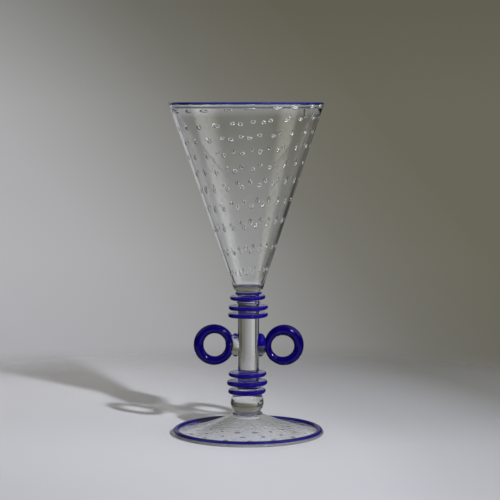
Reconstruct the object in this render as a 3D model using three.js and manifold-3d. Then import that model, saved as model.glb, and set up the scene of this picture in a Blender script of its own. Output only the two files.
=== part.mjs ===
// Stemmed glass vase: a tall clear cone on a solid stem with two blue ring handles.
// Units are millimetres and +Z is up. The origin is the centre of the foot's rest
// plane, +X runs through the right-hand handle and the handles' holes open along Y.
import * as THREE from 'three';
import { mergeVertices } from 'three/addons/utils/BufferGeometryUtils.js';
import Module from 'manifold-3d';

const wasm = await Module();
wasm.setup();

// Clearance left round a cut or wrapped joint between two pieces of glass
const fitGap = 0.3;

// Foot: a thin blown disc that rises to a flat seat in the middle
const footRadius = 63.1;
const footThickness = 2.5;
const footSeatHeight = 13.9;
const footFlarePower = 1.3;
const footThreadWidth = 4.5;
const footThreadHeight = 1.5;
const threadMargin = 0.1;

// Merese: the clear button between foot and knop
const mereseRadius = 12.5;
const mereseThickness = 4.6;

// Knop: a solid ball, flatter in its lower half, cut flat at two latitudes
const knopRadius = 13.7;
const knopLowerHalfHeight = 9.8;
const knopLowerLatitude = THREE.MathUtils.degToRad(44.4);
const knopUpperLatitude = THREE.MathUtils.degToRad(37.5);

// Stem: one solid clear rod that carries the wound rings and the handles
const stemRadius = 8.8;
const stemLength = 84.4;

// Lower group of blue rings wound round the stem, each spaced from the one below it
const lowerBottomRadius = 15.8;
const lowerBottomThickness = 2.6;
const lowerMiddleRadius = 17.0;
const lowerMiddleThickness = 2.9;
const lowerMiddleSpaceBelow = 4.3;
const lowerTopRadius = 15.9;
const lowerTopThickness = 2.6;
const lowerTopSpaceBelow = 4.35;

// Upper group of blue rings and narrow threads, each spaced from the one above it
const neckUpperRadius = 11.1;
const neckUpperThickness = 2.2;
const upperTopRadius = 14.7;
const upperTopThickness = 2.5;
const upperTopSpaceAbove = 1.5;
const neckLowerRadius = 10.0;
const neckLowerThickness = 1.2;
const neckLowerSpaceAbove = 1.95;
const upperMiddleRadius = 16.5;
const upperMiddleThickness = 2.6;
const upperMiddleSpaceAbove = 2.4;
const upperBottomRadius = 16.7;
const upperBottomThickness = 2.6;
const upperBottomSpaceAbove = 3.6;

// Ring handles and the clear prunts that hold them to the stem
const handleRingRadius = 13.1;
const handleTubeRadius = 3.85;
const handleHeight = 39.8;
const handleStandOff = 3.1;
const pruntWrap = 2.6;
const pruntHalfWidth = 6.2;
const pruntHalfHeight = 9.9;

// Bowl: a straight cone with a solid base
const bowlHeight = 153.1;
const bowlRimRadius = 63.5;
const bowlBaseRadius = 13.1;
const bowlBaseReach = 4.2;
const bowlBaseRise = 5.9;
const bowlWall = 2.2;
const bowlFloorThickness = 4.2;
const bowlFloorRise = 4.0;
const lipThreadHeight = 1.8;
const lipThreadInset = 0.1;

// Facet counts
const bowlSides = 60;
const stemSides = 36;
const handleSides = 36;
const tubeSides = 12;
const pruntSides = 18;
const arcSteps = 4;
const flareSteps = 7;

// Heights of the joints up the axis, from the table
const mereseBottom = footSeatHeight;
const knopBottom = mereseBottom + mereseThickness;
const knopCentre = knopBottom + knopLowerHalfHeight * Math.sin(knopLowerLatitude);
const stemBottom = knopCentre + knopRadius * Math.sin(knopUpperLatitude);
const stemTop = stemBottom + stemLength;
const lipHeight = stemTop + bowlHeight;

// Glass colours
const clearGlass = { color: 0xdfe4e2, roughness: 0.05, metalness: 0, transparent: true, opacity: 0.35 };
const blueGlass = { color: 0x14089a, roughness: 0.08, metalness: 0, transparent: true, opacity: 0.9 };

const vase = new THREE.Group();

function addPiece(parent, name, geometry, glass) {
  const mesh = new THREE.Mesh(geometry, new THREE.MeshStandardMaterial(glass));
  mesh.name = name;
  parent.add(mesh);
  return mesh;
}

function point(radius, height) {
  return new THREE.Vector2(radius, height);
}

// Points of an elliptic arc in the section plane; angles run anticlockwise from outwards
function arc(centreRadius, centreHeight, reach, rise, startAngle, endAngle) {
  const points = [];
  for (let step = 0; step <= arcSteps; step += 1) {
    const angle = THREE.MathUtils.lerp(startAngle, endAngle, step / arcSteps);
    points.push(point(centreRadius + reach * Math.cos(angle), centreHeight + rise * Math.sin(angle)));
  }
  return points;
}

// A solid of revolution about Z from a section of radius and height
function turned(section, sides) {
  const geometry = new THREE.LatheGeometry(section, sides);
  geometry.rotateX(Math.PI / 2);
  return geometry;
}

function toSolid(geometry) {
  const bare = geometry.clone();
  bare.deleteAttribute('normal');
  bare.deleteAttribute('uv');
  const merged = mergeVertices(bare);
  return new wasm.Manifold(new wasm.Mesh({
    numProp: 3,
    vertProperties: new Float32Array(merged.attributes.position.array),
    triVerts: new Uint32Array(merged.index.array),
  }));
}

function toGeometry(solid) {
  const mesh = solid.getMesh();
  const geometry = new THREE.BufferGeometry();
  geometry.setAttribute('position', new THREE.BufferAttribute(mesh.vertProperties, mesh.numProp));
  geometry.setIndex(new THREE.BufferAttribute(mesh.triVerts, 1));
  geometry.computeVertexNormals();
  return geometry;
}

// Foot
const footEdgeRadius = footThickness / 2;
const threadLandOuter = footRadius - footEdgeRadius;
const footThreadOuter = threadLandOuter - threadMargin;
const footThreadInner = footThreadOuter - footThreadWidth;
const threadLandInner = footThreadInner - threadMargin;

// Height of the foot's upper face between its seat and the thread's land
function footFlareHeight(share) {
  return footThickness + (footSeatHeight - footThickness) * (1 - share) ** footFlarePower;
}

function footFlare(drop) {
  const points = [];
  for (let step = 0; step <= flareSteps; step += 1) {
    const share = step / flareSteps;
    const radius = THREE.MathUtils.lerp(mereseRadius, threadLandInner, share);
    points.push(point(radius, footFlareHeight(share) - drop));
  }
  return points;
}

const footSection = [
  point(0, footSeatHeight - footThickness),
  ...footFlare(footThickness),
  ...arc(threadLandOuter, footEdgeRadius, footEdgeRadius, footEdgeRadius, -Math.PI / 2, Math.PI / 2),
  ...footFlare(0).reverse(),
  point(0, footSeatHeight),
];
addPiece(vase, 'foot', turned(footSection, bowlSides), clearGlass);

// A half-round bead with a flat bottom, closed on itself
function beadSection(inner, outer, bottom, height) {
  const centre = (inner + outer) / 2;
  const reach = (outer - inner) / 2;
  const section = arc(centre, bottom, reach, height, 0, Math.PI);
  section.push(section[0].clone());
  return section;
}

const footThread = beadSection(footThreadInner, footThreadOuter, footThickness, footThreadHeight);
addPiece(vase, 'foot_thread', turned(footThread, bowlSides), blueGlass);

// Merese: a flat button with a half-round edge
const mereseEdge = mereseThickness / 2;
const mereseSection = [
  point(0, 0),
  ...arc(mereseRadius - mereseEdge, mereseEdge, mereseEdge, mereseEdge, -Math.PI / 2, Math.PI / 2),
  point(0, mereseThickness),
];
addPiece(vase, 'foot_merese', turned(mereseSection, stemSides), clearGlass).position.z = mereseBottom;

// Knop
const knopSection = [
  point(0, knopBottom),
  ...arc(0, knopCentre, knopRadius, knopLowerHalfHeight, -knopLowerLatitude, 0).slice(0, -1),
  ...arc(0, knopCentre, knopRadius, knopRadius, 0, knopUpperLatitude),
  point(0, stemBottom),
];
addPiece(vase, 'knop', turned(knopSection, stemSides), clearGlass);

// Stem
function stemRod(radius) {
  const section = [
    point(0, stemBottom),
    point(radius, stemBottom),
    point(radius, stemTop),
    point(0, stemTop),
  ];
  return turned(section, stemSides);
}

addPiece(vase, 'stem', stemRod(stemRadius), clearGlass);

// Bottom heights of the wound rings: the lower group from the knop up, the upper from the bowl down
const lowerBottomHeight = stemBottom + fitGap;
const lowerMiddleHeight = lowerBottomHeight + lowerBottomThickness + lowerMiddleSpaceBelow;
const lowerTopHeight = lowerMiddleHeight + lowerMiddleThickness + lowerTopSpaceBelow;
const neckUpperHeight = stemTop - fitGap - neckUpperThickness;
const upperTopHeight = neckUpperHeight - upperTopSpaceAbove - upperTopThickness;
const neckLowerHeight = upperTopHeight - neckLowerSpaceAbove - neckLowerThickness;
const upperMiddleHeight = neckLowerHeight - upperMiddleSpaceAbove - upperMiddleThickness;
const upperBottomHeight = upperMiddleHeight - upperBottomSpaceAbove - upperBottomThickness;

// A ring wound on the stem: a flat collar with a half-round outer edge
function addStemRing(name, radius, thickness, bottom) {
  const edge = thickness / 2;
  const bore = stemRadius + fitGap;
  const section = [
    point(bore, 0),
    ...arc(radius - edge, edge, edge, edge, -Math.PI / 2, Math.PI / 2),
    point(bore, thickness),
    point(bore, 0),
  ];
  addPiece(vase, name, turned(section, stemSides), blueGlass).position.z = bottom;
}

addStemRing('lower_ring_bottom', lowerBottomRadius, lowerBottomThickness, lowerBottomHeight);
addStemRing('lower_ring_middle', lowerMiddleRadius, lowerMiddleThickness, lowerMiddleHeight);
addStemRing('lower_ring_top', lowerTopRadius, lowerTopThickness, lowerTopHeight);
addStemRing('neck_thread_upper', neckUpperRadius, neckUpperThickness, neckUpperHeight);
addStemRing('upper_ring_top', upperTopRadius, upperTopThickness, upperTopHeight);
addStemRing('neck_thread_lower', neckLowerRadius, neckLowerThickness, neckLowerHeight);
addStemRing('upper_ring_middle', upperMiddleRadius, upperMiddleThickness, upperMiddleHeight);
addStemRing('upper_ring_bottom', upperBottomRadius, upperBottomThickness, upperBottomHeight);

// Handles: the right-hand one is built in place and the left-hand one is turned half round
const handleReach = stemRadius + handleStandOff + handleTubeRadius + handleRingRadius;
const handleCentre = stemBottom + handleHeight;
const pruntCentre = stemRadius + handleStandOff / 2;
const pruntHalfDepth = handleStandOff / 2 + pruntWrap;

function handleTorus(tubeRadius) {
  const geometry = new THREE.TorusGeometry(handleRingRadius, tubeRadius, tubeSides, handleSides);
  geometry.rotateX(Math.PI / 2);
  return geometry;
}

// The prunt is a flattened drop pressed between stem and ring, cut to clear both
function pruntGeometry() {
  const drop = new THREE.SphereGeometry(1, pruntSides, tubeSides);
  drop.scale(pruntHalfDepth, pruntHalfWidth, pruntHalfHeight);
  drop.translate(pruntCentre, 0, handleCentre);
  const ringRoom = handleTorus(handleTubeRadius + fitGap);
  ringRoom.translate(handleReach, 0, handleCentre);
  const stemRoom = stemRod(stemRadius + fitGap);
  return toGeometry(toSolid(drop).subtract(toSolid(ringRoom)).subtract(toSolid(stemRoom)));
}

for (const side of [{ name: 'right', turn: 0 }, { name: 'left', turn: Math.PI }]) {
  const handle = new THREE.Group();
  handle.rotation.z = side.turn;
  const ring = addPiece(handle, `handle_ring_${side.name}`, handleTorus(handleTubeRadius), blueGlass);
  ring.position.set(handleReach, 0, handleCentre);
  addPiece(handle, `handle_prunt_${side.name}`, pruntGeometry(), clearGlass);
  vase.add(handle);
}

// Bowl
const bowlSlope = (bowlRimRadius - bowlBaseRadius) / (bowlHeight - bowlBaseRise);
const bowlWallAcross = bowlWall * Math.hypot(1, bowlSlope);
const bowlFloorHeight = stemTop + bowlFloorThickness;
const bowlInnerStart = bowlFloorHeight + bowlFloorRise;

function bowlOuterRadius(height) {
  return bowlBaseRadius + (height - stemTop - bowlBaseRise) * bowlSlope;
}

const bowlInnerStartRadius = bowlOuterRadius(bowlInnerStart) - bowlWallAcross;
const lipInnerRadius = bowlRimRadius - bowlWallAcross;
const bowlBaseFlat = bowlBaseRadius - bowlBaseReach;
const bowlSection = [
  point(0, stemTop),
  ...arc(bowlBaseFlat, stemTop + bowlBaseRise, bowlBaseReach, bowlBaseRise, -Math.PI / 2, 0),
  point(bowlRimRadius, lipHeight),
  point(lipInnerRadius, lipHeight),
  ...arc(0, bowlInnerStart, bowlInnerStartRadius, bowlFloorRise, 0, -Math.PI / 2),
];
bowlSection[bowlSection.length - 1].x = 0;
addPiece(vase, 'bowl', turned(bowlSection, bowlSides), clearGlass);

const lipThread = beadSection(
  lipInnerRadius + lipThreadInset, bowlRimRadius - lipThreadInset, lipHeight, lipThreadHeight,
);
addPiece(vase, 'lip_thread', turned(lipThread, bowlSides), blueGlass);

export default vase;
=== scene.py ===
"""Visual model of a stemmed glass vase with bubble rows, blue wound rings and two blue ring handles.

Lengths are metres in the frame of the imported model: +Z is up, the photographed front faces -Y and
the right-hand handle is towards +X.
"""
import math

import bmesh
import bpy
import numpy as np
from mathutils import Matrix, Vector


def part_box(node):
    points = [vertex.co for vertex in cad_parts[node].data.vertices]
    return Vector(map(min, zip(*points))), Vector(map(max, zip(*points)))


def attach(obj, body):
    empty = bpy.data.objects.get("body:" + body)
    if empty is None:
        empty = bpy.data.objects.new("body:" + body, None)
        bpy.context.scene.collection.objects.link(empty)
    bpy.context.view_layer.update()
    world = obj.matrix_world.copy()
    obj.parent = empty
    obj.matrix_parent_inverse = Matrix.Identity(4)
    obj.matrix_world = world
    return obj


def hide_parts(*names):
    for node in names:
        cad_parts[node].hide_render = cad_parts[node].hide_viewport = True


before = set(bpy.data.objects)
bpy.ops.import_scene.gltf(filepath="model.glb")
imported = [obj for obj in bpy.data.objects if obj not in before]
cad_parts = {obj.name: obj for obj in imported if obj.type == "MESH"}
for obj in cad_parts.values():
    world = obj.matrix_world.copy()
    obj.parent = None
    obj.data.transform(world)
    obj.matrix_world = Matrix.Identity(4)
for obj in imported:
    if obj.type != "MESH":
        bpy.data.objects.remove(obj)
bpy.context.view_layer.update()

MM = 0.001
# A point nearer to the axis than this counts as a pole
AT_AXIS = 1e-7
scene = bpy.context.scene

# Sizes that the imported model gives
BOWL_LOW, BOWL_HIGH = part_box("bowl")
STEM_LOW, STEM_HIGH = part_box("stem")
KNOP_LOW, KNOP_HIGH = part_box("knop")
MERESE_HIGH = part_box("foot_merese")[1]
FOOT_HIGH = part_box("foot")[1]
FOOT_THREAD_LOW, FOOT_THREAD_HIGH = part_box("foot_thread")
LIP_THREAD_LOW, LIP_THREAD_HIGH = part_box("lip_thread")
PRUNT_LOW, PRUNT_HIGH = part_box("handle_prunt_left")

BOWL_RIM_RADIUS = BOWL_HIGH.x
STEM_RADIUS = STEM_HIGH.x
FOOT_RADIUS = FOOT_HIGH.x
THREAD_OUTER = FOOT_THREAD_HIGH.x
PRUNT_MIDDLE = (PRUNT_LOW.z + PRUNT_HIGH.z) / 2

# Sizes of the clear glass that only this scene shows
BOWL_BASE_RADIUS = 13.1 * MM
BOWL_BASE_REACH = 4.2 * MM
BOWL_BASE_RISE = 5.9 * MM
BOWL_WALL_ACROSS = 2.33 * MM
BOWL_FLOOR = 4.2 * MM
BOWL_FLOOR_RISE = 2.2 * MM
LIP_ROUNDING = 0.6 * MM
LIP_BAND_DEPTH = 3.2 * MM
LIP_BAND_SWELL = 0.14 * MM
LIP_BAND_RISES = (0.6 * MM, 1.6 * MM)
LIP_CREASE = 0.10 * MM
LIP_CREASE_EASE = 0.5 * MM
FOOT_THICKNESS = 2.5 * MM
FOOT_FLARE_POWER = 1.3
FOOT_SHOULDER = 16.2 * MM
FOOT_SHOULDER_POWER = 1.5
HOLLOW_TOP_RADIUS = 10.8 * MM
HOLLOW_TOP = 12.2 * MM
HOLLOW_EDGE_ACROSS = 0.2 * MM
HOLLOW_EDGE_DOWN = 0.3 * MM
FOOT_LAND = 4.7 * MM
MERESE_INSET = 0.8 * MM
MERESE_EASE = 1.0 * MM
MERESE_LIFT = 0.6 * MM
KNOP_LOWER_HALF = 9.8 * MM
KNOP_LOWER_TURN = 44.4
KNOP_NECK_RADIUS = 10.2 * MM
KNOP_NECK_EASE_ACROSS = 0.2 * MM
KNOP_NECK_EASE_DOWN = 0.15 * MM
STEM_FILLET = [(0.6 * MM, 0.1 * MM), (0.1 * MM, 0.5 * MM)]
BODY_SIDES = 160
FLARE_STEPS = 24
STEM_STEPS = 12
WALL_STEPS = 24

# Sizes of the blue glass that only this scene shows
JOINT_GAP = 0.03 * MM
LIP_THREAD_REACH = 1.15 * MM
LIP_THREAD_SHIFT = 0.1 * MM
FOOT_THREAD_INSET = 0.1 * MM
FOOT_THREAD_CROWN = 0.4 * MM
FOOT_THREAD_ROOT = 1.3 * MM
FOOT_THREAD_SHIFT = 0.35 * MM
RING_SIDES = 96
RING_FULLNESS = 1.27
RING_WEB_SHARE = 0.5
RING_ROOT = 0.5 * MM
RING_FILLET_REACH = 0.12 * MM
RING_LEAST_WIDTH = 0.9 * MM
FILLET_BELOW_SHARE = 0.3
FILLET_NEAR_SHARE = 0.4
FILLET_ABOVE_SHARE = 0.8
RING_OVAL_SHARE = 0.010
RING_RIPPLE_SHARE = 0.006
RING_THICKNESS_SHARE = 0.06
HANDLE_LOOP_SIDES = 96
HANDLE_TUBE_SIDES = 28
HANDLE_SEAM_RIDGE = 0.16 * MM
HANDLE_SEAM_GROOVE = 0.14 * MM
# Angles round the loop, in radians: how wide the seam's ridge is, and where and how wide its groove is
RIDGE_SPREAD = 0.10
GROOVE_PLACE = 0.28
GROOVE_SPREAD = 0.12
PRUNT_RINGS = 28
PRUNT_SIDES = 40
PRUNT_REACH = 2.0 * MM
PRUNT_SINK = 0.4 * MM
PRUNT_STREAKS = 2.4 * MM
PRUNT_STREAK_WIDTH = 0.8 * MM
PRUNT_STREAK_LENGTH = 0.9 * MM
PRUNT_STREAK_WAVER = 6 * MM
COLUMN_ROOM = (0.03, 0.11)

# Sway of the axis: how far the glass stands to the side at each height
SWAY_HEIGHTS = [0.0, 0.015, 0.025, 0.034, 0.048, 0.100, 0.118, 0.272]
SWAY_SHIFTS = [-0.0004, -0.0006, -0.0007, -0.0004, 0.0003, 0.0004, 0.0003, -0.0016]


def mesh_object(name, vertices, faces):
    mesh = bpy.data.meshes.new(name)
    mesh.from_pydata(vertices, [], faces)
    mesh.validate()
    piece = bpy.data.objects.new(name, mesh)
    scene.collection.objects.link(piece)
    return piece


def arc(centre_radius, centre_height, reach, rise, start, end, steps):
    """Points of an elliptic arc in the section plane; angles in degrees, anticlockwise from outwards."""
    points = []
    for step in range(steps + 1):
        angle = math.radians(start + (end - start) * step / steps)
        points.append((centre_radius + reach * math.cos(angle), centre_height + rise * math.sin(angle)))
    return points


def revolved(section, sides, closed=False):
    """Vertices and faces of a section turned about the axis. A closed one joins its end to its start."""
    vertices = []
    rows = []
    for radius, height in section:
        if radius < AT_AXIS:
            rows.append([len(vertices)] * sides)
            vertices.append((0.0, 0.0, height))
            continue
        rows.append(list(range(len(vertices), len(vertices) + sides)))
        for side in range(sides):
            angle = 2 * math.pi * side / sides
            vertices.append((radius * math.cos(angle), radius * math.sin(angle), height))
    if closed:
        rows.append(rows[0])
    faces = []
    for low, high in zip(rows, rows[1:]):
        for side in range(sides):
            following = (side + 1) % sides
            corners = [low[side], low[following], high[following], high[side]]
            faces.append(list(dict.fromkeys(corners)))
    return vertices, faces


def turned(name, section, sides, closed=False):
    """A shell of revolution. Its section runs from pole to pole, or closes on itself."""
    piece = mesh_object(name, *revolved(section, sides, closed))
    outwards(piece)
    return piece


def outwards(piece):
    """Turns every face of a closed shell outwards and shades it smooth."""
    shell = bmesh.new()
    shell.from_mesh(piece.data)
    bmesh.ops.recalc_face_normals(shell, faces=shell.faces)
    shell.to_mesh(piece.data)
    shell.free()
    piece.data.shade_smooth()


def reshape(piece, change):
    """Moves the vertices of a piece by a rule from coordinates to coordinates."""
    count = len(piece.data.vertices)
    places = np.empty(count * 3)
    piece.data.vertices.foreach_get("co", places)
    places = change(places.reshape(count, 3))
    piece.data.vertices.foreach_set("co", places.ravel())
    piece.data.update()


def settle(places):
    """Shifts glass sideways by the sway of the axis at its height."""
    places[:, 0] += np.interp(places[:, 2], SWAY_HEIGHTS, SWAY_SHIFTS)
    return places


def hand_over(piece, slot, *nodes):
    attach(piece, "root")
    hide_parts(*nodes)


# Nodes for materials, the world and geometry
def add_node(tree, kind, inputs=None, **settings):
    node = tree.nodes.new(kind)
    for name, value in settings.items():
        setattr(node, name, value)
    for key, value in (inputs or {}).items():
        if isinstance(value, bpy.types.NodeSocket):
            tree.links.new(value, node.inputs[key])
        else:
            node.inputs[key].default_value = value
    return node


def maths(tree, operation, first, second=0.0, third=None):
    inputs = {0: first, 1: second}
    if third is not None:
        inputs[2] = third
    return add_node(tree, "ShaderNodeMath", inputs, operation=operation).outputs[0]


def product(tree, first, *others):
    """All the values multiplied together."""
    for other in others:
        first = maths(tree, "MULTIPLY", first, other)
    return first


def solid(colour):
    """A colour, or a number that stands for a grey, with full alpha for a socket."""
    red_green_blue = colour if isinstance(colour, tuple) else (colour,) * 3
    return (*red_green_blue, 1.0)


def ramp(tree, place, stops, interpolation="EASE"):
    """Colours along a place from 0 to 1; each stop is its place and its colour."""
    node = add_node(tree, "ShaderNodeValToRGB", {"Fac": place})
    node.color_ramp.interpolation = interpolation
    elements = node.color_ramp.elements
    while len(elements) < len(stops):
        elements.new(1.0)
    for element, (position, colour) in zip(elements, stops):
        element.position = position
        element.color = solid(colour)
    return node.outputs["Color"]


def smooth_step(tree, value, low, high):
    return add_node(tree, "ShaderNodeMapRange", {"Value": value, "From Min": low, "From Max": high},
                    interpolation_type="SMOOTHSTEP").outputs[0]


def blend_colours(tree, share, first, second, blend="MIX"):
    return add_node(tree, "ShaderNodeMix", {0: share, 6: first, 7: second},
                    data_type="RGBA", blend_type=blend).outputs[2]


def object_place(tree):
    return add_node(tree, "ShaderNodeTexCoord").outputs["Object"]


def noise_at(tree, place, scale, detail):
    node = add_node(tree, "ShaderNodeTexNoise", {"Vector": place, "Scale": scale, "Detail": detail})
    return node.outputs[0]


def mottled(tree, colour, scale, least, most):
    """A colour that fine noise makes darker and lighter from place to place."""
    noise = noise_at(tree, object_place(tree), scale, 2.0)
    depth = add_node(tree, "ShaderNodeMapRange",
                     {"Value": noise, "To Min": least, "To Max": most}).outputs[0]
    shade = add_node(tree, "ShaderNodeCombineColor", {0: depth, 1: depth, 2: depth}).outputs[0]
    return blend_colours(tree, 1.0, colour, shade, "MULTIPLY")


def find_glass(material):
    return next(node for node in material.node_tree.nodes if node.type == "BSDF_PRINCIPLED")


def glass_waves_group():
    """Slow ripples and fine flow of hand-worked glass, as a height for a bump."""
    tree = bpy.data.node_groups.new("glass_waves", "ShaderNodeTree")
    for name, value in (("Broad Scale", 30.0), ("Fine Scale", 160.0), ("Fine Share", 0.15)):
        socket = tree.interface.new_socket(name=name, in_out="INPUT", socket_type="NodeSocketFloat")
        socket.default_value = value
    tree.interface.new_socket(name="Height", in_out="OUTPUT", socket_type="NodeSocketFloat")
    source = add_node(tree, "NodeGroupInput")
    flat = add_node(tree, "ShaderNodeMapping",
                    {"Vector": object_place(tree), "Scale": (1.0, 1.0, 0.45)}).outputs[0]
    broad = noise_at(tree, flat, source.outputs["Broad Scale"], 1.0)
    fine = noise_at(tree, flat, source.outputs["Fine Scale"], 2.0)
    share = maths(tree, "MULTIPLY", fine, source.outputs["Fine Share"])
    height = maths(tree, "ADD", broad, share)
    add_node(tree, "NodeGroupOutput", {"Height": height})
    return tree


GLASS_WAVES = glass_waves_group()


def glass_material(name, colour, light_through, roughness=0.0, wave_height=0.00004, clearness=1.0,
                   speckle=(160.0, 0.15)):
    """Clear or tinted glass whose shadow lets part of the lamp's light through.

    A colour may be a number for a grey. speckle is the scale and the share of the fine ripples.
    """
    material = bpy.data.materials.new(name)
    material.use_nodes = True
    tree = material.node_tree
    tree.nodes.clear()
    waves = add_node(tree, "ShaderNodeGroup", node_tree=GLASS_WAVES)
    waves.inputs["Fine Scale"].default_value = speckle[0]
    waves.inputs["Fine Share"].default_value = speckle[1]
    bump = add_node(tree, "ShaderNodeBump",
                    {"Height": waves.outputs["Height"], "Distance": wave_height, "Strength": 1.0})
    glass = add_node(tree, "ShaderNodeBsdfPrincipled", {
        "Base Color": solid(colour),
        "Roughness": roughness,
        "IOR": 1.5,
        "Transmission Weight": clearness,
        "Normal": bump.outputs["Normal"],
    })
    clear = add_node(tree, "ShaderNodeBsdfTransparent", {"Color": solid(light_through)})
    light_path = add_node(tree, "ShaderNodeLightPath")
    mixed = add_node(tree, "ShaderNodeMixShader",
                     {0: light_path.outputs["Is Shadow Ray"], 1: glass.outputs[0], 2: clear.outputs[0]})
    add_node(tree, "ShaderNodeOutputMaterial", {"Surface": mixed.outputs[0]})
    return material


def foot_clear_material():
    """Clear glass with the ripples of the foot, greyed by painted shade and finely mottled in its colour.
    """
    material = glass_material("foot_clear_glass", (0.85, 0.853, 0.86), 0.36, wave_height=0.00032,
                              clearness=0.93, speckle=(340.0, 0.40))
    # Painted shade: the foot's glass is greyed for the shadowed floor seen through it, and a fine mottle
    # varies it
    grey_and_mottle = mottled(material.node_tree, solid((0.86, 0.863, 0.87)), 480.0, 0.80, 1.36)
    material.node_tree.links.new(grey_and_mottle, find_glass(material).inputs["Base Color"])
    return material


def crease_material():
    """Clear glass whose crease shows dashes of dark blue."""
    material = glass_material("crease_glass", 1.0, (0.6, 0.6, 0.58), roughness=0.05)
    tree = material.node_tree
    dashes = smooth_step(tree, noise_at(tree, object_place(tree), 520.0, 1.0), 0.42, 0.52)
    tint = blend_colours(tree, dashes, solid((0.95, 0.95, 0.97)), solid((0.34, 0.33, 0.60)))
    tree.links.new(tint, find_glass(material).inputs["Base Color"])
    return material


def bubble_material():
    """The skin of an air bubble: pale between a middle and rim of painted shade, with painted light from a
    matt share that the lamps light, and misty where it turns away.
    """
    material = glass_material("bubble_glass", 1.0, 0.9, wave_height=0.0, clearness=0.87)
    tree = material.node_tree
    glass = find_glass(material)
    turned_away = add_node(tree, "ShaderNodeLayerWeight", {"Blend": 0.5}).outputs["Facing"]
    mist = ramp(tree, turned_away, [(0.06, 0.0), (0.20, 0.18), (1.0, 0.25)], "LINEAR")
    tree.links.new(mist, glass.inputs["Roughness"])
    # Painted shade: the skin's colour is darker in the middle and at the rim, where refraction shows
    # bubbles dark
    pale = ramp(tree, turned_away, [(0.03, 0.20), (0.09, 1.0), (0.70, 1.0), (0.92, 0.55)], "LINEAR")
    tree.links.new(pale, glass.inputs["Base Color"])
    return material


def cobalt_material(name, colours, gloss, clearness=0.30, shiny_when_flat=0.0):
    """Cobalt glass, so deep in colour that little light comes through unless it is very clear.

    colours go from where the glass faces the eye to where it turns away, and where they darken they are
    painted shade for the dark edges of thick glass. shiny_when_flat is how strongly faces seen almost edge
    on mirror the room.
    """
    material = glass_material(name, colours[0], (0.18, 0.18, 0.16), roughness=0.05, clearness=clearness)
    tree = material.node_tree
    glass = find_glass(material)
    glass.inputs["Specular IOR Level"].default_value = gloss
    turned_away = add_node(tree, "ShaderNodeLayerWeight", {"Blend": 0.5}).outputs["Facing"]
    # Painted shade: the blue darkens where the glass turns away, for the dark edges of thick glass
    blue = ramp(tree, turned_away, list(zip((0.0, 0.35, 0.85), colours)))
    tree.links.new(mottled(tree, blue, 140.0, 0.72, 1.28), glass.inputs["Base Color"])
    if shiny_when_flat > 0.0:
        flat = ramp(tree, turned_away, [(0.66, 0.0), (0.82, shiny_when_flat)], "LINEAR")
        glass.inputs["Coat Roughness"].default_value = 0.06
        tree.links.new(flat, glass.inputs["Coat Weight"])
    return material


CLEAR = glass_material("clear_glass", (0.975, 0.98, 0.97), (0.55, 0.55, 0.53))
FOOT_CLEAR = foot_clear_material()
# Painted shade: the foot's bubbles are tinted grey so that they show as dark dashes
FOOT_BUBBLE = glass_material("foot_bubble_glass", (0.40, 0.40, 0.44), 0.8, wave_height=0.0)
# Painted light: the clear edge outside the foot's thread has a lavender tint and a matt share that the
# lamps light, so it shows pale
FOOT_EDGE = glass_material("foot_edge_glass", (0.88, 0.88, 0.95), 0.5, roughness=0.05,
                           wave_height=0.0004, clearness=0.90)
BUBBLE = bubble_material()
CREASE = crease_material()

# Blues of each cobalt glass, from where it faces the eye to where it turns away; the darker ones are
# painted edge shade
COBALT_BLUES = ((0.0045, 0.0015, 0.116), (0.0050, 0.0018, 0.126), (0.0040, 0.0012, 0.100))
HANDLE_BLUES = ((0.0018, 0.0001, 0.058), (0.0022, 0.0002, 0.066), (0.0026, 0.0001, 0.014))
LIP_BLUES = ((0.009, 0.034, 0.31), (0.009, 0.034, 0.31), (0.006, 0.020, 0.20))
FOOT_BLUES = ((0.0070, 0.0050, 0.120),) * 3
COBALT = cobalt_material("cobalt_glass", COBALT_BLUES, gloss=0.06, clearness=0.12, shiny_when_flat=0.8)
HANDLE_COBALT = cobalt_material("handle_cobalt_glass", HANDLE_BLUES, gloss=0.10, clearness=0.12)
LIP_COBALT = cobalt_material("lip_cobalt_glass", LIP_BLUES, gloss=0.20, clearness=0.75)
FOOT_COBALT = cobalt_material("foot_cobalt_glass", FOOT_BLUES, gloss=0.06)

# Camera
CAMERA_FOCAL_PIXELS = 1749.0
CAMERA_HEIGHT = 0.2722
CAMERA_DISTANCE = 1.431
CAMERA_PITCH = 4.8
CAMERA_SIDE = 0.00165
SENSOR_WIDTH = 36.0
PICTURE_PIXELS = 500
camera_data = bpy.data.cameras.new("camera")
camera_data.sensor_width = SENSOR_WIDTH
camera_data.lens = SENSOR_WIDTH * CAMERA_FOCAL_PIXELS / PICTURE_PIXELS
camera = bpy.data.objects.new("camera", camera_data)
camera.location = (CAMERA_SIDE, -CAMERA_DISTANCE, CAMERA_HEIGHT)
camera.rotation_euler = (math.radians(90 - CAMERA_PITCH), 0.0, 0.0)
scene.collection.objects.link(camera)
scene.camera = camera
scene.view_settings.view_transform = "Standard"

# World: a pale studio that darkens to the right, with plain light for matt surfaces
WALL_SPREAD = 0.30
POOL_BY_TURN = 3.12
POOL_BY_RISE = 2.66
POOL_SHIFT = 0.7536
SIDE_WALL = (0.36, 0.36, 0.37)
LOWEST_DEGREES = -25
HEIGHT_SPAN = 100

# The pool of light on the wall, from its middle outwards
POOL_COLOURS = [
    (0.05, (0.450, 0.450, 0.468)),
    (0.27, (0.405, 0.405, 0.415)),
    (0.43, (0.323, 0.322, 0.318)),
    (0.58, (0.230, 0.228, 0.215)),
    (0.70, (0.178, 0.174, 0.150)),
    (0.93, (0.140, 0.135, 0.100)),
]
# In the lists that follow each colour or grey stands at an angle in degrees
WALL_BY_HEIGHT = [
    (-25, (1.10, 1.10, 1.16)),
    (-9, (0.86, 0.86, 0.87)),
    (-5, 1.00),
    (0, 1.00),
    (4, (0.80, 0.80, 0.79)),
    (12, (0.62, 0.62, 0.60)),
    (40, 0.80),
]
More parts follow.
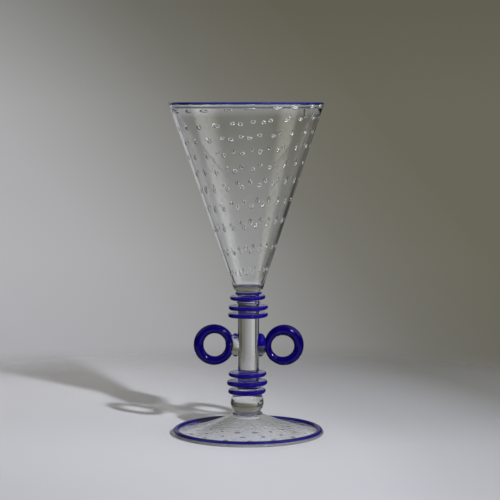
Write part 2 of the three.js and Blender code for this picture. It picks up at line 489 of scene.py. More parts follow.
# Only the glass shows the black cards, their gaps and the pale panels that stand round the vase
PALE_CARD = (2.6, 2.6, 2.4)
LOW_CARDS = [
    (-180, 0.9), (-126, 0.9), (-121, 3.4), (-102, 3.4), (-98, 0.9), (-83, 0.9), (-80, 0.02), (-54, 0.02),
    (-48, 0.95), (-39, 0.95), (-36, 0.15), (-29, 0.15), (-26, 1.15), (-8, 1.0), (27, 1.0), (30, 0.55),
    (37, 0.55), (40, 1.0), (48, 1.0), (54, 0.02), (80, 0.02), (83, 0.9), (98, 0.9), (102, PALE_CARD),
    (121, PALE_CARD), (126, 0.9), (180, 0.9),
]
HIGH_PANELS = [
    (-180, 0.07), (-122, 0.07), (-108, (1.30, 1.30, 1.16)), (-94, (1.55, 1.55, 1.38)),
    (-86, (1.30, 1.30, 1.16)), (-78, 0.02), (-50, 0.02), (-35, (0.20, 0.20, 0.18)),
    (-15, (0.17, 0.168, 0.145)), (35, (0.13, 0.128, 0.10)), (74, 0.16), (83, (1.65, 1.65, 1.62)),
    (96, (1.90, 1.90, 1.87)), (108, (1.70, 1.70, 1.67)), (130, 0.07), (180, 0.07),
]
PALER_TOWARDS_TABLE = [
    (-7, 1.0),
    (-5.5, (1.14, 1.14, 1.20)),
    (-3, (1.12, 1.12, 1.18)),
    (-0.8, 0.91),
    (4, 0.91),
]
MIRRORED_BY_HEIGHT = [
    (7, (0.34, 0.34, 0.45)),
    (8.3, (0.20, 0.20, 0.24)),
    (10, (0.20, 0.20, 0.24)),
    (12, (0.58, 0.58, 0.64)),
    (20, (0.58, 0.58, 0.64)),
]
EVEN_LIGHT = (0.23, 0.224, 0.203)
LIGHT_FROM_BEHIND = (1.9, 1.85, 1.75)


def ramp_round(tree, azimuth, stops):
    """Colours by azimuth: 0 is straight behind the vase and 90 is to its right."""
    place = maths(tree, "MULTIPLY_ADD", azimuth, 0.5 / math.pi, 0.5)
    places = [((degrees + 180) / 360, value) for degrees, value in stops]
    return ramp(tree, place, places, "LINEAR")


def ramp_up(tree, elevation, stops):
    """Colours by elevation above the horizon."""
    start = -LOWEST_DEGREES / HEIGHT_SPAN
    place = maths(tree, "MULTIPLY_ADD", elevation, math.degrees(1) / HEIGHT_SPAN, start)
    places = [((degrees - LOWEST_DEGREES) / HEIGHT_SPAN, value) for degrees, value in stops]
    return ramp(tree, place, places, "LINEAR")


def band(tree, angle, start, end):
    """Rises smoothly from 0 at one angle to 1 at the other, both in degrees."""
    return smooth_step(tree, angle, math.radians(start), math.radians(end))


def wall_picture(tree, azimuth, elevation, sideways):
    """The paper wall behind the vase, with a pool of light low on its left."""
    rise = maths(tree, "MULTIPLY_ADD", elevation, POOL_BY_RISE, POOL_SHIFT)
    slanted = maths(tree, "MULTIPLY_ADD", azimuth, POOL_BY_TURN, rise)
    pool = ramp(tree, slanted, POOL_COLOURS, "B_SPLINE")
    wall = blend_colours(tree, sideways, pool, solid(SIDE_WALL))
    return blend_colours(tree, 1.0, wall, ramp_up(tree, elevation, WALL_BY_HEIGHT), "MULTIPLY")


def low_picture(tree, azimuth, elevation, near_wall):
    """What the glass shows below the panels: the near wall and the table between black cards."""
    far = maths(tree, "ABSOLUTE", azimuth)
    cards = ramp_round(tree, azimuth, LOW_CARDS)
    # Far out the cards begin above the table, and their gaps close higher up
    under_cards = product(tree, band(tree, elevation, -7.9, -8.6), band(tree, far, 49, 54), 0.8)
    cards = blend_colours(tree, under_cards, cards, solid(0.95))
    over_gaps = product(tree, band(tree, elevation, 1, 5), band(tree, far, 36, 39), band(tree, far, 57, 54))
    cards = blend_colours(tree, over_gaps, cards, solid(0.05))
    low = blend_colours(tree, 1.0, near_wall, cards, "MULTIPLY")
    # Through the bowl the wall is paler towards the table
    low = blend_colours(tree, 1.0, low, ramp_up(tree, elevation, PALER_TOWARDS_TABLE), "MULTIPLY")
    # The vase's own shadow lies on the wall, low on the left
    shaded = product(tree, band(tree, elevation, -5, -6.5), band(tree, azimuth, -28, -34), 0.5)
    low = blend_colours(tree, shaded, low, solid(0.05))
    # What the bowl's slanting edges show: a bright table on the left and a dark one on the right
    slope = maths(tree, "MULTIPLY_ADD", far, 0.25, elevation)
    bright = product(tree, band(tree, azimuth, -8, -15), band(tree, azimuth, -36, -30),
                     band(tree, slope, -0.3, -2.5))
    low = blend_colours(tree, bright, low, solid((0.47, 0.47, 0.48)))
    dark = product(tree, band(tree, azimuth, 12, 20), band(tree, azimuth, 46, 40),
                   band(tree, slope, -3.2, -4.8), band(tree, slope, -7.0, -6.0))
    return blend_colours(tree, dark, low, solid((0.04, 0.04, 0.035)))


def mirrored_picture(tree, azimuth, elevation, near_wall, sides):
    """What the glass mirrors: a dark room round the lit wall, with the panels above."""
    outside = maths(tree, "MAXIMUM", band(tree, azimuth, 3, 14), band(tree, azimuth, -30, -42))
    lit_wall = blend_colours(tree, band(tree, elevation, 2, 6), near_wall,
                             ramp_up(tree, elevation, MIRRORED_BY_HEIGHT))
    dim = blend_colours(tree, outside, lit_wall, solid(0.03))
    return blend_colours(tree, band(tree, elevation, 16, 24), dim, sides)


def make_world():
    world = bpy.data.worlds.new("studio")
    scene.world = world
    world.use_nodes = True
    tree = world.node_tree
    tree.nodes.clear()
    direction = add_node(tree, "ShaderNodeTexCoord").outputs["Generated"]
    parts = add_node(tree, "ShaderNodeSeparateXYZ", {0: direction}).outputs
    azimuth = maths(tree, "ARCTAN2", parts["X"], parts["Y"])
    elevation = maths(tree, "ARCSINE", parts["Z"])
    sideways = band(tree, maths(tree, "ABSOLUTE", azimuth), 60, 130)
    plain_wall = wall_picture(tree, azimuth, elevation, sideways)
    # Seen from the vase the near wall spreads wider than it does from the camera
    near_azimuth = maths(tree, "MULTIPLY", azimuth, WALL_SPREAD)
    near_wall = wall_picture(tree, near_azimuth, elevation, sideways)
    low = low_picture(tree, azimuth, elevation, near_wall)
    sides = blend_colours(tree, band(tree, elevation, 7, 13), low, ramp_round(tree, azimuth, HIGH_PANELS))
    through = blend_colours(tree, band(tree, elevation, 36, 46), sides, solid((0.17, 0.17, 0.15)))
    mirrored = mirrored_picture(tree, azimuth, elevation, near_wall, sides)
    light_path = add_node(tree, "ShaderNodeLightPath").outputs
    picture = blend_colours(tree, light_path["Is Glossy Ray"], plain_wall, mirrored)
    picture = blend_colours(tree, light_path["Is Transmission Ray"], picture, through)
    seen = add_node(tree, "ShaderNodeBackground", {"Color": picture, "Strength": 1.0})
    # Matt surfaces get even light, and a low band of it from behind shows the back's colours
    level = maths(tree, "ABSOLUTE", elevation)
    behind = product(tree, smooth_step(tree, parts["Y"], 0.2, 0.7), band(tree, level, 20, 10))
    even = blend_colours(tree, behind, solid(EVEN_LIGHT), solid(LIGHT_FROM_BEHIND))
    plain = add_node(tree, "ShaderNodeBackground", {"Color": even, "Strength": 1.0})
    shown = maths(tree, "MAXIMUM", light_path["Is Glossy Ray"], light_path["Is Transmission Ray"])
    shown = maths(tree, "MAXIMUM", light_path["Is Camera Ray"], shown)
    mixed = add_node(tree, "ShaderNodeMixShader", {0: shown, 1: plain.outputs[0], 2: seen.outputs[0]})
    add_node(tree, "ShaderNodeOutputWorld", {"Surface": mixed.outputs[0]})


make_world()

# Key light: one small lamp high at the front right
KEY_PLACE = Vector((0.42, -0.71, 0.53))
KEY_AIM = Vector((0, 0, 0.1))
key_data = bpy.data.lights.new("key", "AREA")
key_data.shape = "DISK"
key_data.size = 0.05
key_data.energy = 14.5
key_data.color = (0.955, 0.975, 1.0)
key = bpy.data.objects.new("key", key_data)
key.location = KEY_PLACE
key.rotation_euler = (KEY_AIM - KEY_PLACE).to_track_quat("-Z", "Y").to_euler()
scene.collection.objects.link(key)

# Floor: a pale disc whose edge melts into the studio
FLOOR_CLEAR_FROM = 0.33
FLOOR_CLEAR_TO = 0.56
# How far to each side the floor's painted dark reflection starts and is full
FLOOR_DARK_REFLECTION_FROM = 0.08
FLOOR_DARK_REFLECTION_TO = 0.10
FLOOR_SLANT = 0.4
FLOOR_SLANT_FROM = -0.05
FLOOR_ACROSS = 1.6
FLOOR_ALONG = 1.25
# Painted shade on the floor: its colour darkens to the right, where the lamp's light falls off
FLOOR_SHADE_LEFT_TO_RIGHT = [
    (0.00, (0.910, 0.910, 0.980)),
    (0.20, (0.875, 0.875, 0.945)),
    (0.45, (0.763, 0.763, 0.819)),
    (0.61, (0.647, 0.647, 0.694)),
    (0.70, (0.529, 0.529, 0.568)),
    (0.82, (0.441, 0.441, 0.469)),
    (0.91, (0.357, 0.357, 0.371)),
    (1.00, (0.238, 0.235, 0.224)),
]
# Painted shade on the floor: its colour darkens towards the front
FLOOR_SHADE_FRONT_TO_BACK = [
    (0.16, 0.436),
    (0.36, 0.593),
    (0.60, 0.720),
    (0.73, 0.815),
    (0.88, 0.870),
]


def floor_material():
    """Pale paper whose colour carries painted shade, darker to the right and in front, and that is clear at
    the disc's edge.
    """
    material = bpy.data.materials.new("floor_paper")
    material.use_nodes = True
    tree = material.node_tree
    tree.nodes.clear()
    parts = add_node(tree, "ShaderNodeSeparateXYZ", {0: object_place(tree)}).outputs
    back = maths(tree, "MAXIMUM", parts["Y"], FLOOR_SLANT_FROM)
    slanted = maths(tree, "MULTIPLY_ADD", back, FLOOR_SLANT, parts["X"])
    across = maths(tree, "MULTIPLY_ADD", slanted, FLOOR_ACROSS, 0.5)
    left_to_right = ramp(tree, across, FLOOR_SHADE_LEFT_TO_RIGHT, "B_SPLINE")
    along = maths(tree, "MULTIPLY_ADD", parts["Y"], FLOOR_ALONG, 0.5)
    front_to_back = ramp(tree, along, FLOOR_SHADE_FRONT_TO_BACK, "B_SPLINE")
    tint = blend_colours(tree, 1.0, left_to_right, front_to_back, "MULTIPLY")
    # Painted dark reflection: at both sides the floor turns near black for mirrored rays only, like black
    # cards that only the glass shows
    turn = maths(tree, "ABSOLUTE", maths(tree, "ARCTAN2", parts["X"], parts["Y"]))
    aside = smooth_step(tree, maths(tree, "ABSOLUTE", parts["X"]), FLOOR_DARK_REFLECTION_FROM, FLOOR_DARK_REFLECTION_TO)
    mirrored = add_node(tree, "ShaderNodeLightPath").outputs["Is Glossy Ray"]
    painted_dark_reflection = product(tree, band(tree, turn, 33, 39), band(tree, turn, 84, 80), mirrored, aside)
    tint = blend_colours(tree, painted_dark_reflection, tint, solid(0.01))
    paper = add_node(tree, "ShaderNodeBsdfPrincipled",
                     {"Base Color": tint, "Roughness": 0.9, "Specular IOR Level": 0.2})
    clear = add_node(tree, "ShaderNodeBsdfTransparent")
    squares = maths(tree, "ADD", maths(tree, "MULTIPLY", parts["X"], parts["X"]),
                    maths(tree, "MULTIPLY", parts["Y"], parts["Y"]))
    fade = smooth_step(tree, maths(tree, "SQRT", squares), FLOOR_CLEAR_FROM, FLOOR_CLEAR_TO)
    mixed = add_node(tree, "ShaderNodeMixShader", {0: fade, 1: paper.outputs[0], 2: clear.outputs[0]})
    add_node(tree, "ShaderNodeOutputMaterial", {"Surface": mixed.outputs[0]})
    return material


def make_floor():
    floor = mesh_object("floor", *revolved([(FLOOR_CLEAR_TO, 0.0), (0.0, 0.0)], 96))
    floor.data.materials.append(floor_material())


make_floor()

# Clear glass: bowl, stem, knop, merese and foot are one blown body
CONE_SLOPE = (BOWL_RIM_RADIUS - BOWL_BASE_RADIUS) / (BOWL_HIGH.z - BOWL_LOW.z - BOWL_BASE_RISE)


def cone_radius(height):
    return BOWL_BASE_RADIUS + (height - BOWL_LOW.z - BOWL_BASE_RISE) * CONE_SLOPE


def foot_height(radius, top=FOOT_SHOULDER, power=FOOT_SHOULDER_POWER):
    """Height of the foot's upper face outside the merese, or of another flare like it."""
    land_inner = FOOT_RADIUS - FOOT_THICKNESS / 2 - FOOT_LAND
    share = min(1.0, max(0.0, (radius - MERESE_HIGH.x) / (land_inner - MERESE_HIGH.x)))
    return FOOT_THICKNESS + (top - FOOT_THICKNESS) * (1 - share) ** power


def body_section():
    edge = FOOT_THICKNESS / 2
    land_outer = FOOT_RADIUS - edge
    land_inner = land_outer - FOOT_LAND
    upper = []
    lower = []
    for step in range(FLARE_STEPS + 1):
        radius = MERESE_HIGH.x + (land_inner - MERESE_HIGH.x) * step / FLARE_STEPS
        upper.append((radius, foot_height(radius)))
        lower.append((radius, foot_height(radius, FOOT_HIGH.z, FOOT_FLARE_POWER) - FOOT_THICKNESS))
    section = [(0.0, HOLLOW_TOP), (HOLLOW_TOP_RADIUS, HOLLOW_TOP)]
    section += [(HOLLOW_TOP_RADIUS + HOLLOW_EDGE_ACROSS, HOLLOW_TOP - HOLLOW_EDGE_DOWN)]
    section += lower
    section += arc(land_outer, edge, edge, edge, -90, 90, 8)
    section += upper[::-1]
    # The merese is a soft shoulder between the foot and the knop
    shoulder_reach = MERESE_HIGH.x - KNOP_NECK_RADIUS - MERESE_EASE
    shoulder_rise = MERESE_HIGH.z - FOOT_SHOULDER - MERESE_INSET
    section += arc(KNOP_NECK_RADIUS + MERESE_INSET, FOOT_SHOULDER + MERESE_LIFT,
                   shoulder_reach, shoulder_rise, 10, 80, 6)
    section.append((KNOP_NECK_RADIUS + KNOP_NECK_EASE_ACROSS, MERESE_HIGH.z - KNOP_NECK_EASE_DOWN))
    section.append((KNOP_NECK_RADIUS, MERESE_HIGH.z))
    knop_middle = KNOP_LOW.z + KNOP_LOWER_HALF * math.sin(math.radians(KNOP_LOWER_TURN))
    section += arc(0.0, knop_middle, KNOP_HIGH.x, KNOP_LOWER_HALF, -42, 0, 10)
    section += arc(0.0, knop_middle, KNOP_HIGH.x, KNOP_HIGH.x, 3, 36, 10)
    section += [(STEM_RADIUS + out, STEM_LOW.z + rise) for out, rise in STEM_FILLET]
    for step in range(1, STEM_STEPS):
        section.append((STEM_RADIUS, STEM_LOW.z + (STEM_HIGH.z - STEM_LOW.z) * step / STEM_STEPS))
    base_flat = BOWL_BASE_RADIUS - BOWL_BASE_REACH
    base_top = BOWL_LOW.z + BOWL_BASE_RISE
    section += arc(base_flat, base_top, BOWL_BASE_REACH, BOWL_BASE_RISE, -85, 0, 12)
    crease = BOWL_HIGH.z - LIP_BAND_DEPTH
    for step in range(1, WALL_STEPS):
        height = base_top + (crease - LIP_CREASE_EASE - base_top) * step / (WALL_STEPS - 1)
        section.append((cone_radius(height), height))
    section.append((cone_radius(crease) - LIP_CREASE, crease))
    section += [(cone_radius(crease + rise) + LIP_BAND_SWELL, crease + rise) for rise in LIP_BAND_RISES]
    wall_top = cone_radius(BOWL_HIGH.z)
    middle = wall_top - BOWL_WALL_ACROSS / 2
    lip_start = BOWL_HIGH.z - LIP_ROUNDING
    section += arc(middle, lip_start, BOWL_WALL_ACROSS / 2, LIP_ROUNDING, 0, 180, 8)
    inner_start = BOWL_LOW.z + BOWL_FLOOR + BOWL_FLOOR_RISE
    inner_radius = cone_radius(inner_start) - BOWL_WALL_ACROSS
    for step in range(1, WALL_STEPS):
        height = lip_start + (inner_start - lip_start) * step / WALL_STEPS
        section.append((cone_radius(height) - BOWL_WALL_ACROSS, height))
    section += arc(0.0, inner_start, inner_radius, BOWL_FLOOR_RISE, 0, -84, 14)
    section.append((0.0, inner_start - BOWL_FLOOR_RISE))
    return section


# Bubble rows: one geometry tree makes a ring of small flattened cavities in a wall
BUBBLE_SIDES = 8
BUBBLE_RINGS = 6


def bubble_row_tree():
    tree = bpy.data.node_groups.new("bubble_row", "GeometryNodeTree")
    floats = ["Row Height", "Row Radius", "Wall Slope", "Wall Angle", "Row Tilt", "Row Turn",
              "Bubble Depth", "Bubble Width", "Bubble Height", "Size Spread", "Place Spread"]
    for name in floats:
        tree.interface.new_socket(name=name, in_out="INPUT", socket_type="NodeSocketFloat")
    for name in ("Bubble Count", "Seed"):
        tree.interface.new_socket(name=name, in_out="INPUT", socket_type="NodeSocketInt")
    tree.interface.new_socket(name="Glass", in_out="INPUT", socket_type="NodeSocketMaterial")
    tree.interface.new_socket(name="Geometry", in_out="OUTPUT", socket_type="NodeSocketGeometry")
    given = add_node(tree, "NodeGroupInput").outputs
    index = add_node(tree, "GeometryNodeInputIndex").outputs[0]

    def spread(amount, shift):
        low = maths(tree, "MULTIPLY", amount, -1.0)
        seed = maths(tree, "ADD", given["Seed"], float(shift))
        return add_node(tree, "FunctionNodeRandomValue", {2: low, 3: amount, 7: index, 8: seed},
                        data_type="FLOAT").outputs[1]

    step = maths(tree, "DIVIDE", 2 * math.pi, given["Bubble Count"])
    even = maths(tree, "MULTIPLY_ADD", index, step, given["Row Turn"])
    angle = maths(tree, "MULTIPLY_ADD", spread(given["Place Spread"], 1), step, even)
    cosine = maths(tree, "COSINE", angle)
    sine = maths(tree, "SINE", angle)
    slant = maths(tree, "TANGENT", given["Row Tilt"])
    lift = maths(tree, "MULTIPLY", maths(tree, "MULTIPLY", given["Row Radius"], cosine), slant)
    jump = maths(tree, "MULTIPLY", spread(given["Place Spread"], 2), MM)
    rise = maths(tree, "ADD", lift, jump)
    radius = maths(tree, "MULTIPLY_ADD", rise, given["Wall Slope"], given["Row Radius"])
    place = add_node(tree, "ShaderNodeCombineXYZ", {
        0: maths(tree, "MULTIPLY", radius, cosine),
        1: maths(tree, "MULTIPLY", radius, sine),
        2: maths(tree, "ADD", given["Row Height"], rise),
    }).outputs[0]
    points = add_node(tree, "GeometryNodePoints", {"Count": given["Bubble Count"], "Position": place})
    ball = add_node(tree, "GeometryNodeMeshUVSphere",
                    {"Segments": BUBBLE_SIDES, "Rings": BUBBLE_RINGS, "Radius": 0.5})
    turned_by = add_node(tree, "ShaderNodeCombineXYZ", {1: given["Wall Angle"], 2: angle}).outputs[0]
    grown = maths(tree, "ADD", spread(given["Size Spread"], 3), 1.0)
    tall = maths(tree, "ADD", spread(given["Size Spread"], 4), 1.0)
    size = add_node(tree, "ShaderNodeCombineXYZ", {
        0: given["Bubble Depth"],
        1: maths(tree, "MULTIPLY", given["Bubble Width"], grown),
        2: maths(tree, "MULTIPLY", given["Bubble Height"], tall),
    }).outputs[0]
    placed = add_node(tree, "GeometryNodeInstanceOnPoints", {
        "Points": points.outputs[0],
        "Instance": ball.outputs["Mesh"],
        "Rotation": turned_by,
        "Scale": size,
    })
    real = add_node(tree, "GeometryNodeRealizeInstances", {0: placed.outputs[0]})
    hollow = add_node(tree, "GeometryNodeFlipFaces", {0: real.outputs[0]})
    coated = add_node(tree, "GeometryNodeSetMaterial",
                      {"Geometry": hollow.outputs[0], "Material": given["Glass"]})
    add_node(tree, "NodeGroupOutput", {"Geometry": coated.outputs[0]})
    return tree


BUBBLE_ROW = bubble_row_tree()
BUBBLES_IN_BOWL_ROW = 20
BUBBLES_IN_FOOT_ROW = 16
# Where the bowl's top row starts and how far on each next row does, as shares of the step between
# bubbles. The quarter keeps most bubbles in front from hiding the ones behind.
BOWL_ROW_START = 0.25
BOWL_ROW_STAGGER = 0.5


def bubble_row(**values):
    """Evaluates one row of bubbles to a plain mesh."""
    carrier = mesh_object("bubble_carrier", [], [])
    modifier = carrier.modifiers.new("bubbles", "NODES")
    modifier.node_group = BUBBLE_ROW
    for item in BUBBLE_ROW.interface.items_tree:
        key_name = item.name.lower().replace(" ", "_")
        if item.in_out == "INPUT" and key_name in values:
            modifier[item.identifier] = values[key_name]
    evaluated = carrier.evaluated_get(bpy.context.evaluated_depsgraph_get())
    mesh = bpy.data.meshes.new_from_object(evaluated)
    bpy.data.objects.remove(carrier)
    return mesh


BUBBLE_DEPTH = 1.5 * MM
BUBBLE_WIDTH_GAIN = 1.25
BUBBLE_HEIGHT_GAIN = 1.2
FOOT_BUBBLE_DEPTH = 0.9 * MM
FOOT_ROW_TURN = 0.17
FOOT_ROW_TURN_STEP = 0.13
# Height, tilt in degrees, width and height of the bubbles, in millimetres, from the lip down
BOWL_BUBBLES = [
    (267.4, 2.0, 7.2, 2.2),
    (256.0, 4.5, 4.0, 2.7),
    (244.6, 5.0, 3.8, 2.9),
    (232.7, 5.5, 3.6, 3.2),
    (219.3, 6.0, 3.3, 3.5),
    (205.8, 6.5, 3.2, 3.9),
    (189.9, 7.0, 3.0, 4.2),
    (173.4, 7.5, 2.8, 4.2),
    (152.9, 8.0, 2.2, 3.6),
    (134.7, 8.0, 1.8, 3.0),
]
# Distance from the axis, length along the foot and width of the foot's bubbles, in millimetres
FOOT_BUBBLES = [(35.0, 2.8, 4.0), (42.7, 2.6, 4.5), (50.3, 2.6, 5.0)]

BODY_GLASSES = [CLEAR, FOOT_CLEAR, BUBBLE, FOOT_EDGE, FOOT_BUBBLE, CREASE]


def body_glass(place):
    """Which glass the body has at a place on its skin."""
    if place.z < FOOT_SHOULDER:
        return FOOT_EDGE if math.hypot(place.x, place.y) > THREAD_OUTER else FOOT_CLEAR
    return CREASE if place.z < MERESE_HIGH.z + MERESE_LIFT else CLEAR


def bowl_cavities():
    """Bubbles in the middle of the bowl's wall, in rows that go round it and lean a little."""
    cavities = []
    for row, (height, tilt, width, tall) in enumerate(BOWL_BUBBLES):
        cavities.append(bubble_row(
            row_height=height * MM,
            row_radius=cone_radius(height * MM) - BOWL_WALL_ACROSS / 2,
            wall_slope=CONE_SLOPE,
            wall_angle=math.atan(CONE_SLOPE),
            row_tilt=math.radians(tilt),
            row_turn=(BOWL_ROW_START + BOWL_ROW_STAGGER * row) * 2 * math.pi / BUBBLES_IN_BOWL_ROW,
            bubble_depth=BUBBLE_DEPTH,
            bubble_width=width * BUBBLE_WIDTH_GAIN * MM,
            bubble_height=tall * BUBBLE_HEIGHT_GAIN * MM,
            size_spread=0.16,
            place_spread=0.10,
            bubble_count=BUBBLES_IN_BOWL_ROW,
            seed=11 + row,
            glass=BUBBLE,
        ))
    return cavities


def foot_cavities():
    cavities = []
    for row, (radius, along, across) in enumerate(FOOT_BUBBLES):
        step = MM
        drop = (foot_height(radius * MM + step) - foot_height(radius * MM - step)) / (2 * step)
        cavities.append(bubble_row(
            row_height=foot_height(radius * MM) - FOOT_THICKNESS / 2,
            row_radius=radius * MM,
            wall_slope=0.0,
            wall_angle=math.pi / 2 - math.atan(drop),
            row_tilt=0.0,
            row_turn=FOOT_ROW_TURN + FOOT_ROW_TURN_STEP * row,
            bubble_depth=FOOT_BUBBLE_DEPTH,
            bubble_width=across * MM,
            bubble_height=along * MM,
            size_spread=0.3,
            place_spread=0.0,
            bubble_count=BUBBLES_IN_FOOT_ROW,
            seed=41 + row,
            glass=FOOT_BUBBLE,
        ))
    return cavities


def make_body():
    body = turned("clear_body", body_section(), BODY_SIDES)
    for glass in BODY_GLASSES:
        body.data.materials.append(glass)
    for face in body.data.polygons:
        face.material_index = BODY_GLASSES.index(body_glass(face.center))
    joined = bmesh.new()
    joined.from_mesh(body.data)
    for mesh in bowl_cavities() + foot_cavities():
        shell_faces = len(joined.faces)
        joined.from_mesh(mesh)
        joined.faces.ensure_lookup_table()
        for face in joined.faces[shell_faces:]:
            glass = BUBBLE if face.calc_center_median().z > FOOT_HIGH.z else FOOT_BUBBLE
            face.material_index = BODY_GLASSES.index(glass)
        bpy.data.meshes.remove(mesh)
    joined.to_mesh(body.data)
    joined.free()
    body.data.shade_smooth()
    reshape(body, settle)
    hand_over(body, "clear_glass", "bowl", "stem", "knop", "foot_merese", "foot")


make_body()


# Blue rings wound round the stem
def wound_ring(name, tilt, side_shift, fillet, slimness=1.0):
    """A ring round the stem with a rounded rim and a small fillet that creeps along the column."""
    low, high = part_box(name)
    half = (high.z - low.z) / 2 * slimness
    middle = (high.z + low.z) / 2
    bore = STEM_RADIUS + JOINT_GAP
    rim = high.x
    edge = min(half, (rim - bore) / 2)
    web = half * RING_WEB_SHARE
    wide = rim - edge > bore + RING_LEAST_WIDTH
    section = [(bore, middle - web - fillet * FILLET_BELOW_SHARE), (bore + RING_ROOT, middle - web)]
    if wide:
        section.append(((bore + rim - edge) / 2, middle - half * RING_FULLNESS))
    section += arc(rim - edge, middle, edge, half * RING_FULLNESS, -88, 88, 14)
    if wide:
        section.append(((bore + rim - edge) / 2, middle + half * RING_FULLNESS))
    section.append((bore + RING_ROOT, middle + web))
    section.append((bore + RING_FILLET_REACH, middle + web + fillet * FILLET_NEAR_SHARE))
    section.append((bore, middle + web + fillet * FILLET_ABOVE_SHARE))
    ring = turned(name + "_glass", section, RING_SIDES, closed=True)
    lean = math.tan(math.radians(tilt))
    phase = len(name) * 1.7 + tilt

    def hand_worked(places):
        radius = np.hypot(places[:, 0], places[:, 1])
        angle = np.arctan2(places[:, 1], places[:, 0])
        out = np.clip((radius - bore) / (rim - bore), 0.0, 1.0)
        oval = RING_OVAL_SHARE * np.sin(2 * angle + phase)
        ripple = RING_RIPPLE_SHARE * np.sin(5 * angle + 2 * phase)
        swell = 1 + out * (oval + ripple)
        thick = 1 + RING_THICKNESS_SHARE * np.sin(3 * angle + phase)
        places[:, 2] = middle + (places[:, 2] - middle) * thick + places[:, 0] * lean
        places[:, 0] = places[:, 0] * swell + out * side_shift
        places[:, 1] *= swell
        return settle(places)

    reshape(ring, hand_worked)
    ring.data.materials.append(COBALT)
    hand_over(ring, "cobalt_glass", name)


# Name, tilt in degrees, shift to the side, fillet and, for the neck threads, slimness
for ring_values in (
    ("neck_thread_upper", 0.5, 0.0, 0.0, 0.62),
    ("upper_ring_top", 1.6, -0.8 * MM, 0.2 * MM),
    ("neck_thread_lower", 0.4, 0.0, 0.0, 0.5),
    ("upper_ring_middle", 0.8, -0.2 * MM, 0.2 * MM),
    ("upper_ring_bottom", 0.7, -0.5 * MM, 0.3 * MM),
    ("lower_ring_top", 0.7, -0.7 * MM, 0.6 * MM),
    ("lower_ring_middle", 0.7, -0.8 * MM, 0.3 * MM),
    ("lower_ring_bottom", 0.8, -0.6 * MM, 0.2 * MM),
):
    wound_ring(*ring_values)


# Lip thread and foot thread
def make_lip_thread():
    middle = BOWL_RIM_RADIUS - BOWL_WALL_ACROSS / 2 + LIP_THREAD_SHIFT
    low = LIP_THREAD_LOW.z + JOINT_GAP
    half = (LIP_THREAD_HIGH.z - low) / 2
    section = arc(middle, low + half, LIP_THREAD_REACH, half, 0, 345, 23)
    thread = turned("lip_thread_glass", section, BODY_SIDES, closed=True)
    reshape(thread, settle)
    thread.data.materials.append(LIP_COBALT)
    hand_over(thread, "cobalt_glass", "lip_thread")


def make_foot_thread():
    inner = FOOT_RADIUS - FOOT_THICKNESS / 2 - FOOT_LAND + FOOT_THREAD_INSET
    middle = (inner + THREAD_OUTER) / 2
    half = (THREAD_OUTER - inner) / 2
    low = FOOT_THREAD_LOW.z + JOINT_GAP
    tall = FOOT_THREAD_HIGH.z - low + FOOT_THREAD_CROWN
    section = arc(middle, low, half, tall, 0, 180, 16)
    section += arc(middle, low, half, FOOT_THREAD_ROOT, 180, 360, 16)[1:-1]
    thread = turned("foot_thread_glass", section, BODY_SIDES, closed=True)

    def off_centre(places):
        places[:, 0] += FOOT_THREAD_SHIFT
        return settle(places)

    reshape(thread, off_centre)
    thread.data.materials.append(FOOT_COBALT)
    hand_over(thread, "cobalt_glass", "foot_thread")


make_lip_thread()
make_foot_thread()


# Ring handles: closed loops of tube whose thickness changes round the loop
def make_handle(side, centre_shift, loop_half, tube, seam):
    """tube is the thickness and its gains to the right, upwards and at both sides; seam is in radians."""
    low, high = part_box("handle_ring_" + side)
    centre = (low + high) / 2 + Vector((centre_shift[0], 0.0, centre_shift[1]))
    loop_sides = HANDLE_LOOP_SIDES
    tube_sides = HANDLE_TUBE_SIDES
    thickness, right_gain, upward_gain, oval_gain = tube
    vertices = []
    for loop in range(loop_sides):
        turn = 2 * math.pi * loop / loop_sides
        radius = thickness + right_gain * math.cos(turn) + upward_gain * math.sin(turn)
        radius += oval_gain * math.cos(2 * turn)
        gap = (turn - seam + math.pi) % (2 * math.pi) - math.pi
        radius += HANDLE_SEAM_RIDGE * math.exp(-(gap / RIDGE_SPREAD) ** 2)
        radius -= HANDLE_SEAM_GROOVE * math.exp(-((gap - GROOVE_PLACE) / GROOVE_SPREAD) ** 2)
        for step in range(tube_sides):
            angle = 2 * math.pi * step / tube_sides
            out = radius * math.cos(angle)
            vertices.append((
                centre.x + (loop_half[0] + out) * math.cos(turn),
                centre.y + radius * math.sin(angle),
                centre.z + (loop_half[1] + out) * math.sin(turn),
            ))
    faces = []
    for loop in range(loop_sides):
        for step in range(tube_sides):
            here, there = loop * tube_sides, (loop + 1) % loop_sides * tube_sides
            following = (step + 1) % tube_sides
            faces.append((here + step, there + step, there + following, here + following))
    handle = mesh_object("handle_ring_" + side + "_glass", vertices, faces)
    outwards(handle)
    reshape(handle, settle)
    handle.data.materials.append(HANDLE_COBALT)
    hand_over(handle, "cobalt_glass", "handle_ring_" + side)
    return handle


RIGHT_TUBE = (3.74 * MM, 0.55 * MM, 0.42 * MM, -0.3 * MM)
LEFT_TUBE = (3.8 * MM, -0.24 * MM, 0.06 * MM, 0.07 * MM)
RIGHT_HANDLE = make_handle("right", (0.0, -0.5 * MM), (12.8 * MM, 12.9 * MM), RIGHT_TUBE, 3.9)
LEFT_HANDLE = make_handle("left", (0.7 * MM, 0.2 * MM), (12.95 * MM, 13.2 * MM), LEFT_TUBE, 0.1)

PRUNT_CLEAR = (0.97, 0.975, 0.97)
PRUNT_BLUE = (0.004, 0.002, 0.30)


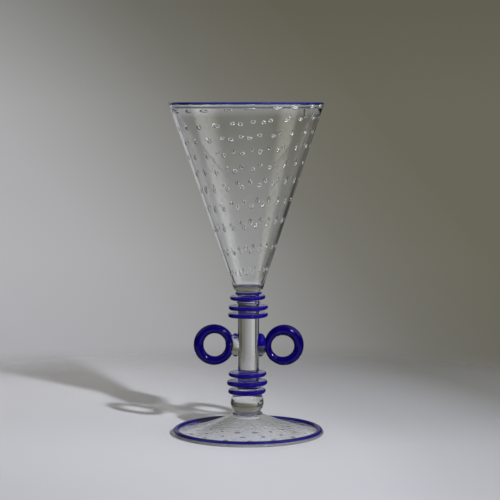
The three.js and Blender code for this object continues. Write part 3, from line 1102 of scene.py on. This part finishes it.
def streaked_material(name, low, high, strength):
    """Clear glass that turns blue along wavering streaks, from the low height up to the high one."""
    material = glass_material(name, PRUNT_CLEAR, 0.8)
    tree = material.node_tree
    glass = find_glass(material)
    place = object_place(tree)
    height = add_node(tree, "ShaderNodeSeparateXYZ", {0: place}).outputs["Z"]
    drawn = add_node(tree, "ShaderNodeMapping",
                     {"Vector": place, "Scale": (420.0, 420.0, 120.0)}).outputs[0]
    wavering = maths(tree, "MULTIPLY_ADD", noise_at(tree, drawn, 1.0, 2.0), PRUNT_STREAK_WAVER, height)
    share = maths(tree, "MULTIPLY", smooth_step(tree, wavering, low, high), strength)
    tint = blend_colours(tree, share, solid(PRUNT_CLEAR), solid(PRUNT_BLUE))
    tree.links.new(tint, glass.inputs["Base Color"])
    return material


def make_prunt(side, direction, streak, blue_from):
    """A clear drop pressed between stem and ring, cut just clear of both, and blue above a height."""
    low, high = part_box("handle_prunt_" + side)
    centre = (low + high) / 2
    half = (high - low) / 2
    reach = half.x + PRUNT_REACH
    section = arc(0.0, 0.0, 1.0, 1.0, -90, 90, PRUNT_RINGS)
    prunt = turned("handle_prunt_" + side + "_glass", section, PRUNT_SIDES)
    middle = direction * (abs(centre.x) - PRUNT_SINK)

    def drop(places):
        places[:, 0] = middle + places[:, 0] * reach
        places[:, 1] = places[:, 1] * half.y
        places[:, 2] = centre.z + places[:, 2] * half.z
        return places

    reshape(prunt, drop)
    low_end, high_end = COLUMN_ROOM
    room_radius = STEM_RADIUS + JOINT_GAP
    column_section = [(0.0, low_end), (room_radius, low_end), (room_radius, high_end), (0.0, high_end)]
    column = turned("column_room", column_section, RING_SIDES)
    reshape(column, settle)
    handle = RIGHT_HANDLE if direction > 0 else LEFT_HANDLE
    room = bpy.data.objects.new("ring_room", handle.data.copy())
    scene.collection.objects.link(room)
    for cutter in (column, room):
        cut = prunt.modifiers.new("cut", "BOOLEAN")
        cut.operation = "DIFFERENCE"
        cut.object = cutter
        cut.solver = "EXACT"
    evaluated = prunt.evaluated_get(bpy.context.evaluated_depsgraph_get())
    mesh = bpy.data.meshes.new_from_object(evaluated)
    prunt.modifiers.clear()
    prunt.data = mesh
    for cutter in (column, room):
        bpy.data.objects.remove(cutter)
    prunt.data.materials.clear()
    prunt.data.materials.append(streak)
    prunt.data.materials.append(COBALT)
    for face in prunt.data.polygons:
        wave = math.sin(face.center.y / PRUNT_STREAK_WIDTH + face.center.z / PRUNT_STREAK_LENGTH)
        if face.center.z + PRUNT_STREAKS * wave > blue_from:
            face.material_index = 1
    prunt.data.shade_smooth()
    hand_over(prunt, "clear_glass", "handle_prunt_" + side)


# Side and direction, then the streak's start and full height above the prunt's middle, its strength
# and the height above the middle from where the glass is all blue
for side, direction, streak_low, streak_high, strength, blue_above in (
    ("left", -1, 5 * MM, 9 * MM, 0.7, 8.6 * MM),
    ("right", 1, -5 * MM, -1 * MM, 0.9, 0.3 * MM),
):
    streak = streaked_material(side + "_prunt_glass", PRUNT_MIDDLE + streak_low, PRUNT_MIDDLE + streak_high,
                               strength)
    make_prunt(side, direction, streak, PRUNT_MIDDLE + blue_above)
